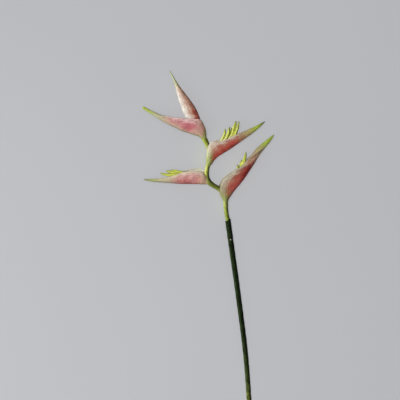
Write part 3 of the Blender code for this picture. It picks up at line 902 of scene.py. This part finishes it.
def build_bract_bloom():
    """How a bract is coloured from keel to rim and from base to tip."""
    grey = (0.5, 0.5, 0.5, 1.0)
    values = dict.fromkeys((*MESH_MASKS, *FIBRE_MASKS, *BRACT_PLACES), 0.5)
    inputs = dict.fromkeys(PALETTE_1, grey) | values
    group, given, result = new_group("bract_bloom", inputs, {"Colour": grey})

    def step(operation, *inputs):
        """One Math node of this group."""
        return maths(group, operation, *inputs)

    def blend(colour, mask, title):
        """The named colour laid over the last one."""
        return mix(group, mask, colour, given[title])

    def before(value, limit):
        """1 at the base, and 0 past the limit."""
        return step("SUBTRACT", 1.0, ease(group, value, step("MULTIPLY", limit, 0.35), limit))

    def border_end(title):
        """Where the border of a zone ends."""
        return step("ADD", given[title + " Start"], BORDERS[title])

    def past(value, title):
        """0 before a zone starts, and 1 past its border."""
        return ease(group, value, given[title + " Start"], border_end(title))

    centred = {title: step("SUBTRACT", given[title], 0.5) for title in FIBRE_MASKS}
    uneven = step("MULTIPLY_ADD", centred["Blotch"], 0.7, centred["Fibre"])
    uneven = step("MULTIPLY_ADD", centred["Mottle"], 0.4, uneven)
    across = step("MULTIPLY_ADD", uneven, given["Streaks"], given["Across"])
    along = step("MULTIPLY_ADD", uneven, 0.1, given["Along"])
    colour = mix(group, ease(group, across, 0.02, 0.32), given["Keel"], given["Flank"])
    colour = blend(colour, ease(group, across, 0.26, 0.62), "Wall")
    from_flush = step("DIVIDE", step("SUBTRACT", along, given["Flush Along"]), given["Flush Size"])
    beside_flush = step("DIVIDE", step("SUBTRACT", across, given["Flush Across"]), FLUSH_SPREAD)
    far = step("ADD", step("MULTIPLY", from_flush, from_flush), step("MULTIPLY", beside_flush, beside_flush))
    colour = blend(colour, step("SUBTRACT", 1.0, ease(group, far, 0.0, 1.0)), "Flush")
    colour = blend(colour, past(across, "Rim"), "Rim")
    on_shoulder = step("MULTIPLY", before(along, given["Shoulder End"]), past(across, "Shoulder"))
    colour = blend(colour, on_shoulder, "Shoulder")
    on_throat = past(along, "Throat")
    colour = blend(colour, on_throat, "Throat")
    colour = blend(colour, past(along, "Tip"), "Tip")
    colour = blend(colour, before(along, given["Base End"]), "Base")
    colour = blend(colour, ease(group, given["Along"], 0.86, 0.98), "End")
    on_ridge = step("SUBTRACT", 1.0, ease(group, given["Across"], 0.03, 0.15))
    on_ridge = step("MULTIPLY", on_ridge, before(given["Along"], border_end("Tip")))
    colour = blend(colour, step("MULTIPLY", on_ridge, 0.7), "Ridge")
    colour = blend(colour, step("MULTIPLY", given["Inside"], 0.8), "Inner")
    # Painted light and shade towards the tip: the keel side lighter and the rim side darker, flattening the
    # lamps' shading
    light = step("MULTIPLY", step("SUBTRACT", 0.58, given["Across"]), given["Keel Light"])
    tone = step("MULTIPLY_ADD", light, on_throat, 1.0)
    for title, share in TONE_SHARES.items():
        tone = step("MULTIPLY_ADD", centred[title], share, tone)
    wire(group, toned(group, colour, tone), result["Colour"])
    return group


def bract_finish(number, palette, fibres, bloom):
    """Waxy skin of one bract, in its own colours."""
    material, tree, shader = new_finish(f"bract_{number}_skin", 0.45, gloss=0.35)
    masks = {title: mark(tree, title.lower()) for title in MESH_MASKS}
    where = vector(tree, mark(tree, "around"), masks["Inside"], 0.0)
    lengthwise = maths(tree, "MULTIPLY", masks["Along"], 2.0)
    lines = use_group(tree, fibres, {"Across": where, "Along": lengthwise, "Fibres": 12.0, "Blotches": 5.0})
    masks.update({title: lines[title] for title in FIBRE_MASKS})
    colours = {title: shade(*colour) for title, colour in palette.items()}
    places = {title: row[number - 1] for title, row in BRACT_PLACES.items()}
    painted = use_group(tree, bloom, masks | colours | places)
    wire(tree, painted["Colour"], shader.inputs["Base Color"])
    rough = maths(tree, "MULTIPLY_ADD", lines["Speckle"], 0.3, 0.34)
    wire(tree, rough, shader.inputs["Roughness"])
    height = maths(tree, "MULTIPLY_ADD", lines["Vein"], 0.7, lines["Fibre"])
    height = maths(tree, "MULTIPLY_ADD", lines["Mottle"], 0.5, height)
    relief(tree, shader, height, 0.5, 0.6)
    return material


def along_colours(tree, along, stops):
    """A colour that changes along a piece: each stop is where it lies, and its red, green and blue."""
    ramp = tree.nodes.new("ShaderNodeValToRGB")
    wire(tree, along, ramp.inputs[0])
    steps = ramp.color_ramp.elements
    while len(steps) < len(stops):
        steps.new(0.5)
    for step, (stop, *colour) in zip(steps, stops):
        step.position = stop
        step.color = shade(*colour)
    return ramp.outputs[0]


# The colours along the round pieces: where each lies, and its red, green and blue on a screen
# The rachis is olive between bract_1 and bract_2. Near 0.52 it is also darkened as painted shade where
# bract_2's base shades it
RACHIS_COLOURS = (
    (0.0, 138, 152, 38), (0.13, 140, 154, 40), (0.18, 152, 164, 54), (0.22, 174, 184, 80),
    (0.28, 182, 188, 92), (0.33, 150, 158, 76), (0.38, 132, 140, 54), (0.45, 126, 134, 54),
    (0.48, 140, 148, 66), (0.52, 150, 154, 58), (0.55, 190, 198, 70), (0.59, 204, 208, 96),
    (0.76, 168, 178, 84), (0.82, 156, 168, 58), (1.0, 152, 166, 56),
)
# Painted shade on the rachis's right side, near black along the peduncle and where bract_2's base shades it
RACHIS_PAINTED_SHADE = (
    (0.0, 14, 20, 5), (0.19, 14, 20, 5), (0.26, 60, 68, 26), (0.36, 150, 158, 66),
    (0.45, 140, 148, 64), (0.48, 60, 68, 26), (0.51, 2, 4, 1), (0.54, 4, 7, 2),
    (0.57, 26, 34, 10), (0.63, 60, 70, 26), (0.76, 150, 160, 60), (1.0, 170, 180, 62),
)
SHEATH_COLOURS = (
    (0.0, 150, 152, 80), (0.17, 124, 128, 58), (0.21, 112, 116, 50), (0.245, 88, 100, 44),
    (0.28, 66, 78, 33), (0.36, 54, 68, 29), (0.46, 40, 55, 24), (1.0, 35, 50, 23),
)
# Painted shade on the stalk's right side, near black
SHEATH_PAINTED_SHADE = ((0.0, 10, 14, 6), (1.0, 5, 9, 4))
FLORET_COLOURS = (
    (0.0, 166, 170, 98), (0.08, 206, 202, 156), (0.42, 214, 208, 156), (0.62, 202, 206, 92),
    (0.88, 194, 200, 80), (1.0, 150, 156, 88),
)
# Painted shade on the florets' right side
FLORET_PAINTED_SHADE = ((0.0, 150, 150, 90), (1.0, 120, 130, 36))


def tube_finish(name, fibres, stops, painted_shade_stops, roughness, spread, painted_shade_share, gloss=0.3, scar=None):
    """Skin of a round green piece, with fibres along it and painted shade as a darker band along its right
    side.
    """
    material, tree, shader = new_finish(name, roughness, gloss)
    along = mark(tree, "along")
    side = mark(tree, "around_x")
    where = vector(tree, side, mark(tree, "around_y"), 0.0)
    lengthwise = maths(tree, "MULTIPLY", along, 20.0)
    lines = use_group(tree, fibres, {"Across": where, "Along": lengthwise, "Fibres": 3.5, "Blotches": 1.5})
    colour = along_colours(tree, along, stops)
    # Painted shade: the right side, away from the lamps on the left, is darkened, less so at its far edge
    shaded = maths(tree, "MULTIPLY_ADD", lines["Fibre"], 0.25, side)
    shaded = maths(tree, "MULTIPLY", ease(tree, shaded, 0.15, 0.95), painted_shade_share)
    edge = maths(tree, "MULTIPLY_ADD", ease(tree, side, 0.82, 1.0), -0.75, 1.0)
    shaded = maths(tree, "MULTIPLY", shaded, edge)
    colour = mix(tree, shaded, colour, along_colours(tree, along, painted_shade_stops))
    tone = 1.0
    for title in FIBRE_MASKS:
        tone = maths(tree, "MULTIPLY_ADD", maths(tree, "SUBTRACT", lines[title], 0.5), spread, tone)
    colour = toned(tree, colour, tone)
    if scar:
        colour = mix(tree, ease(tree, mark(tree, "pale"), 0.25, 0.6), colour, scar)
    wire(tree, colour, shader.inputs["Base Color"])
    rough = maths(tree, "MULTIPLY_ADD", lines["Speckle"], 0.25, roughness - 0.12)
    wire(tree, rough, shader.inputs["Roughness"])
    relief(tree, shader, maths(tree, "ADD", lines["Fibre"], lines["Vein"]), 0.45, 0.5)
    return material


def cut_finish():
    """The cut end: pale pith with a ring of darker strands and a browned rim."""
    material, tree, shader = new_finish("cut_pith", 0.7)
    cells = tree.nodes.new("ShaderNodeTexVoronoi")
    where = vector(tree, mark(tree, "around_x"), mark(tree, "around_y"), 0.0)
    wire(tree, where, cells.inputs["Vector"])
    cells.inputs["Scale"].default_value = 7.0
    strands = ease(tree, cells.outputs["Distance"], 0.12, 0.3)
    colour = mix(tree, strands, shade(120, 120, 70), shade(205, 205, 160))
    colour = mix(tree, ease(tree, mark(tree, "edge"), 0.82, 0.98), colour, shade(96, 100, 50))
    wire(tree, colour, shader.inputs["Base Color"])
    relief(tree, shader, cells.outputs["Distance"], 0.5, 0.6)
    return material


def make_floor():
    """The plain pale surface that the stem lies on."""
    mesh = bpy.data.meshes.new("floor")
    half = 12.0
    corners = [(-half, -half, 0.0), (half, -half, 0.0), (half, half, 0.0), (-half, half, 0.0)]
    mesh.from_pydata(corners, [], [(0, 1, 2, 3)])
    floor = bpy.data.objects.new("floor", mesh)
    bpy.context.scene.collection.objects.link(floor)
    material, tree, shader = new_finish("floor_paint", 0.8, gloss=0.1)
    where = tree.nodes.new("ShaderNodeTexCoord").outputs["Object"]
    mottle = noise(tree, where, 1.2, 2.0)
    paint = mix(tree, mottle, shade(214, 215, 219), shade(220, 221, 225))
    away = tree.nodes.new("ShaderNodeVectorMath")
    away.operation = "LENGTH"
    wire(tree, where, away.inputs[0])
    paint = mix(tree, ease(tree, away.outputs["Value"], 0.6, 4.0), paint, shade(250, 250, 252))
    wire(tree, paint, shader.inputs["Base Color"])
    mesh.materials.append(material)
    floor.visible_diffuse = False
    return floor


def make_world():
    """A weak even glow, and a plain pale backdrop behind the floor."""
    world = bpy.data.worlds.new("studio")
    world.use_nodes = True
    background = world.node_tree.nodes["Background"]
    background.inputs["Color"].default_value = (0.97, 0.98, 1.0, 1.0)
    seen = world.node_tree.nodes.new("ShaderNodeLightPath").outputs["Is Camera Ray"]
    strength = maths(world.node_tree, "MULTIPLY_ADD", seen, 0.42, 0.1)
    wire(world.node_tree, strength, background.inputs["Strength"])
    bpy.context.scene.world = world


def gather(name, bodies):
    """A collection of bodies, for a light to reach or to be shaded by."""
    group = bpy.data.collections.new(name)
    for body in bodies:
        group.objects.link(body)
    return group


def starting(*starts):
    """The bodies of the scene whose names start with one of these words."""
    return [body for body in bpy.context.scene.collection.objects if body.name.startswith(starts)]


def make_light(name, kind, place_at, aim, power, size, reached, shaded_by):
    """A soft light that faces a point, and the bodies that it reaches and that throw its shadows."""
    lamp = bpy.data.lights.new(name, kind)
    lamp.energy = power
    if kind == "AREA":
        lamp.size = size
    light = bpy.data.objects.new(name, lamp)
    light.location = place_at
    facing = Vector(aim) - Vector(place_at)
    light.rotation_euler = facing.to_track_quat("-Z", "Y").to_euler()
    bpy.context.scene.collection.objects.link(light)
    light.light_linking.receiver_collection = reached
    light.light_linking.blocker_collection = shaded_by


def make_lights(floor):
    """Soft lights low on the photo's left, a weak fill from above and right, and an even floor."""
    blooms = gather("lights_bracts_and_florets", starting("bract", "floret"))
    tubes = gather("lights_rachis_and_stalk", starting("rachis", "stalk"))
    no_tubes = gather("lights_all_but_the_tubes", (*blooms.objects, floor))
    floor_only = gather("lights_the_floor_only", (floor,))
    middle = (0.0, 0.12, 0.0)
    corner = (-0.3, -0.1, 0.0)
    # Each light: its name, kind, place, aim, power, size, what it reaches and what shades it
    for light in (
        ("key", "AREA", (-1.55, 0.3, 1.5), middle, 46.0, 0.8, blooms, None),
        ("rake", "AREA", (-2.0, 0.1, 0.7), middle, 12.0, 0.6, blooms, None),
        ("low", "AREA", (-2.0, 0.1, 0.75), middle, 56.0, 0.5, tubes, tubes),
        ("front", "AREA", (-0.2, 0.2, 2.6), middle, 8.0, 1.0, no_tubes, None),
        ("faint", "AREA", (-0.3, 0.2, 2.6), middle, 2.5, 1.0, tubes, None),
        ("right", "AREA", (2.0, 0.1, 0.3), middle, 7.0, 0.8, tubes, None),
        ("even", "SUN", (0.0, 0.0, 3.0), (0.0, 0.0, 0.0), 1.38, 0.0, floor_only, floor_only),
        ("left", "AREA", (-1.05, -0.4, 0.9), corner, 2.4, 0.8, floor_only, floor_only),
    ):
        make_light(*light)


def make_camera():
    """The camera, which looks straight down and sees 0.8 m across at the height of the head."""
    camera = bpy.data.cameras.new("camera")
    camera.lens = 100.0
    camera.sensor_width = 36.0
    view = bpy.data.objects.new("camera", camera)
    span = 0.8
    height = 0.012
    view.location = (-0.0164, 0.116, height + span * camera.lens / camera.sensor_width)
    bpy.context.scene.collection.objects.link(view)
    bpy.context.scene.camera = view


fibres = build_fibres()
bloom = build_bract_bloom()

rachis_skin = tube_finish(
    "rachis_skin", fibres, RACHIS_COLOURS, RACHIS_PAINTED_SHADE, roughness=0.45, spread=0.3, painted_shade_share=0.85)
sheath_skin = tube_finish(
    "sheath_skin", fibres, SHEATH_COLOURS, SHEATH_PAINTED_SHADE, roughness=0.65, spread=0.9, painted_shade_share=0.6,
    gloss=0.08, scar=shade(188, 186, 160))
floret_skin = tube_finish(
    "floret_skin", fibres, FLORET_COLOURS, FLORET_PAINTED_SHADE, roughness=0.45, spread=0.35, painted_shade_share=0.3)
cut_pith = cut_finish()

# Each bract: its lines, fold and palette, the seed and height of its waves, and its dips
BRACTS = (
    (BRACT_1, FOLD_1, PALETTE_1, 11, 0.5, ((0.3, 0.16, 2.5, 0.8),)),
    (BRACT_2, FOLD_2, PALETTE_2, 12, 0.14, ((0.2, 0.18, 4.2, 2.0), (0.4, 0.1, 0.0, 1.6))),
    (BRACT_3, FOLD_3, PALETTE_3, 13, 0.5, ((0.43, 0.12, 4.6, 0.6),)),
    (BRACT_4, FOLD_4, PALETTE_4, 14, 0.4, ()),
    (BRACT_5, FOLD_5, PALETTE_5, 15, 0.0, ()),
)
for number, (table, fold, palette, seed, wave, dips) in enumerate(BRACTS, 1):
    finish = bract_finish(number, palette, fibres, bloom)
    make_bract(f"bract_{number}", table, fold, finish, seed, wave, dips)
make_rachis(rachis_skin)
make_stalk(sheath_skin, cut_pith)
make_florets("florets_1", RECEPTACLE_1, FLORETS_1, floret_skin, seed=21)
make_florets("florets_2", RECEPTACLE_2, FLORETS_2, floret_skin, seed=22)
make_florets("florets_3", RECEPTACLE_3, FLORETS_3, floret_skin, seed=23)

make_world()
make_lights(make_floor())
make_camera()
bpy.context.scene.view_settings.view_transform = "Standard"
